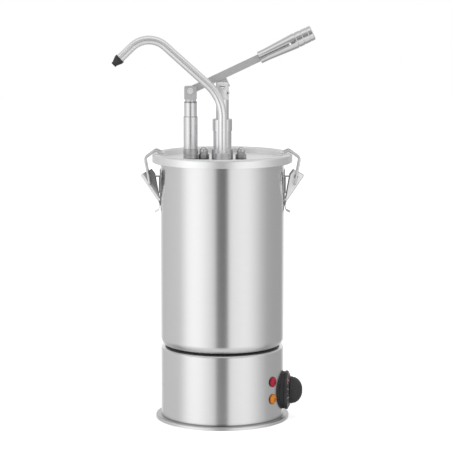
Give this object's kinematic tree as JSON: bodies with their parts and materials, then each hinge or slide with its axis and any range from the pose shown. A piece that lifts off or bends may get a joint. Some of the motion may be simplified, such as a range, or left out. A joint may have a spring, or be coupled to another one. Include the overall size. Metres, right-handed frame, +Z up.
{
  "type": "hot fudge topping warmer",
  "caption": "Heated stainless topping warmer with a lever pump, a high arched spout, two toggle latches and a thermostat base.",
  "frame": {"origin": "centre of the ring that the heater base stands on, at table level", "axes": "+Z up along the pot; +X towards the pump handle and the thermostat side, -X towards the spout's nozzle; -Y is the front"},
  "size_m": [0.2868, 0.2035, 0.5613],
  "materials": {
    "brushed_steel": "brushed round its axis",
    "polished_steel": "polished",
    "latch_steel": "bright pressed sheet and wire",
    "plain_steel": "plain",
    "matte_steel": "matte, grey",
    "grip_steel": "polished",
    "aluminium": "turned",
    "element_steel": "dark, heat stained",
    "black_rubber": "matte",
    "black_plastic": "moulded",
    "white_plastic": "moulded",
    "insulation": "mineral fibre pad",
    "copper": "drawn copper",
    "red_lens": "crimson lens",
    "amber_lens": "amber lens"
  },
  "bodies": {
    "base": {"foot_ring": "brushed_steel", "anti_slip_ring": "black_rubber", "floor_plate": "plain_steel", "floor_screws": "plain_steel", "base_housing": "brushed_steel", "seat_seal": "black_rubber", "heating_plate": "aluminium", "heating_element": "element_steel", "element_clamp": "plain_steel", "insulation_disc": "insulation", "heat_shield": "plain_steel", "centre_stud": "plain_steel", "stud_nut": "plain_steel", "thermostat_body": "black_plastic", "thermostat_mount": "plain_steel", "thermostat_screws": "plain_steel", "thermostat_bulb": "copper", "thermal_cutout": "black_plastic", "terminal_block": "white_plastic", "cable_gland": "black_plastic", "gland_nut": "black_plastic", "lamp_bodies": "white_plastic", "red_lens": "red_lens", "amber_lens": "amber_lens", "dial_base": "black_plastic", "dial_plate": "black_plastic"},
    "knob": {"control_knob": "black_plastic", "thermostat_shaft": "plain_steel"},
    "container": {"pot": "brushed_steel", "lid": "brushed_steel", "lid_gasket": "black_rubber", "latch_brackets": "latch_steel", "latch_rivets": "latch_steel", "pump_plate": "plain_steel", "pump_block": "polished_steel", "cap_nuts": "polished_steel", "column_tube": "polished_steel", "column_collar": "polished_steel", "rod_bush": "white_plastic", "pump_cylinder": "plain_steel", "spring_seat": "white_plastic", "return_spring": "plain_steel", "valve_block": "plain_steel", "riser_tube": "plain_steel", "spout": "polished_steel", "nozzle": "black_rubber", "post": "polished_steel", "fulcrum_fork": "polished_steel", "fulcrum_pin": "polished_steel"},
    "lever": {"lever_bar": "matte_steel", "handle_grip": "grip_steel"},
    "piston": {"piston_rod": "polished_steel", "piston": "white_plastic", "piston_seals": "black_rubber"},
    "latch_right": {"latch_lever_right": "latch_steel"},
    "bail_right": {"latch_bail_right": "latch_steel"},
    "latch_left": {"latch_lever_left": "latch_steel"},
    "bail_left": {"latch_bail_left": "latch_steel"},
    "suction_ball": {"suction_ball": "plain_steel"},
    "discharge_ball": {"discharge_ball": "plain_steel"}
  },
  "joints": [
    {"name": "container_lift", "type": "slide", "parent": "base", "child": "container", "axis": [0, 0, 1], "range_m": [0, 0.15]},
    {"name": "knob_turn", "type": "hinge", "parent": "base", "child": "knob", "pos_m": [0.08966, -0.00784, 0.04025], "axis": [-0.9962, 0.0872, 0], "range_deg": [0, 270]},
    {"name": "lever_hinge", "type": "hinge", "parent": "container", "child": "lever", "pos_m": [-0.045, 0, 0.4706], "axis": [0, 1, 0], "range_deg": [0, 37]},
    {"name": "piston_slide", "type": "slide", "parent": "container", "child": "piston", "axis": [0, 0, -1], "range_m": [0, 0.0295], "stiffness_N_per_m": 400, "springref_m": -0.03, "deforming": ["return_spring"]},
    {"name": "latch_right_hinge", "type": "hinge", "parent": "container", "child": "latch_right", "pos_m": [0.1046, 0, 0.3488], "axis": [0, -1, 0], "range_deg": [0, 95]},
    {"name": "bail_right_hinge", "type": "hinge", "parent": "latch_right", "child": "bail_right", "pos_m": [0.103, 0, 0.338], "axis": [0, 1, 0], "range_deg": [0, 171.5]},
    {"name": "latch_left_hinge", "type": "hinge", "parent": "container", "child": "latch_left", "pos_m": [-0.1046, 0, 0.3488], "axis": [0, 1, 0], "range_deg": [0, 95]},
    {"name": "bail_left_hinge", "type": "hinge", "parent": "latch_left", "child": "bail_left", "pos_m": [-0.103, 0, 0.338], "axis": [0, -1, 0], "range_deg": [0, 171.5]},
    {"name": "suction_ball_lift", "type": "slide", "parent": "container", "child": "suction_ball", "axis": [0, 0, 1], "range_m": [0, 0.0023]},
    {"name": "discharge_ball_lift", "type": "slide", "parent": "container", "child": "discharge_ball", "axis": [0, 0, 1], "range_m": [0, 0.0023]}
  ],
  "couplings": [
    {"joint": "piston_slide", "follows": "lever_hinge", "m_per_rad": 0.04558},
    {"joint": "bail_right_hinge", "follows": "latch_right_hinge", "ratio": 1.8},
    {"joint": "bail_left_hinge", "follows": "latch_left_hinge", "ratio": 1.8}
  ]
}
